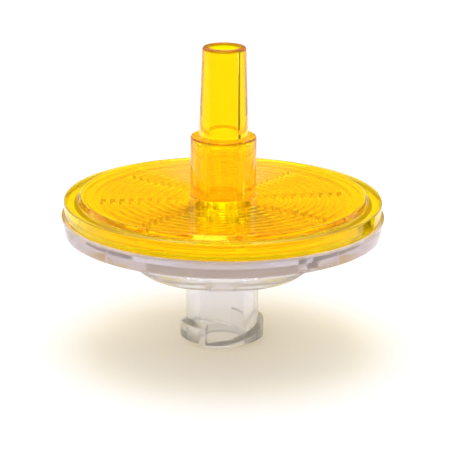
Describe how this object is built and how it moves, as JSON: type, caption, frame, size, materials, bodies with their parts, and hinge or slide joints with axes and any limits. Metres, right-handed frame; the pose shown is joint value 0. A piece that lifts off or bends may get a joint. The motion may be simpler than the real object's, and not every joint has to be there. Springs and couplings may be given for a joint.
{
  "type": "syringe filter",
  "caption": "Disc syringe filter: translucent yellow outlet half with a male Luer slip tip, white membrane, and clear inlet half with a female Luer-lock mouth.",
  "frame": {"origin": "centre of the inlet mouth, on the face that the filter stands on", "axes": "+Z along the flow axis from the inlet mouth to the outlet tip, -Y towards the front"},
  "size_m": [0.0294, 0.0294, 0.0275],
  "materials": {
    "yellow_housing": "polished translucent yellow",
    "filter_membrane": "matt white filter sheet",
    "clear_housing": "polished clear"
  },
  "bodies": {
    "root": {"outlet_housing": "yellow_housing", "membrane": "filter_membrane", "inlet_housing": "clear_housing"}
  },
  "joints": []
}
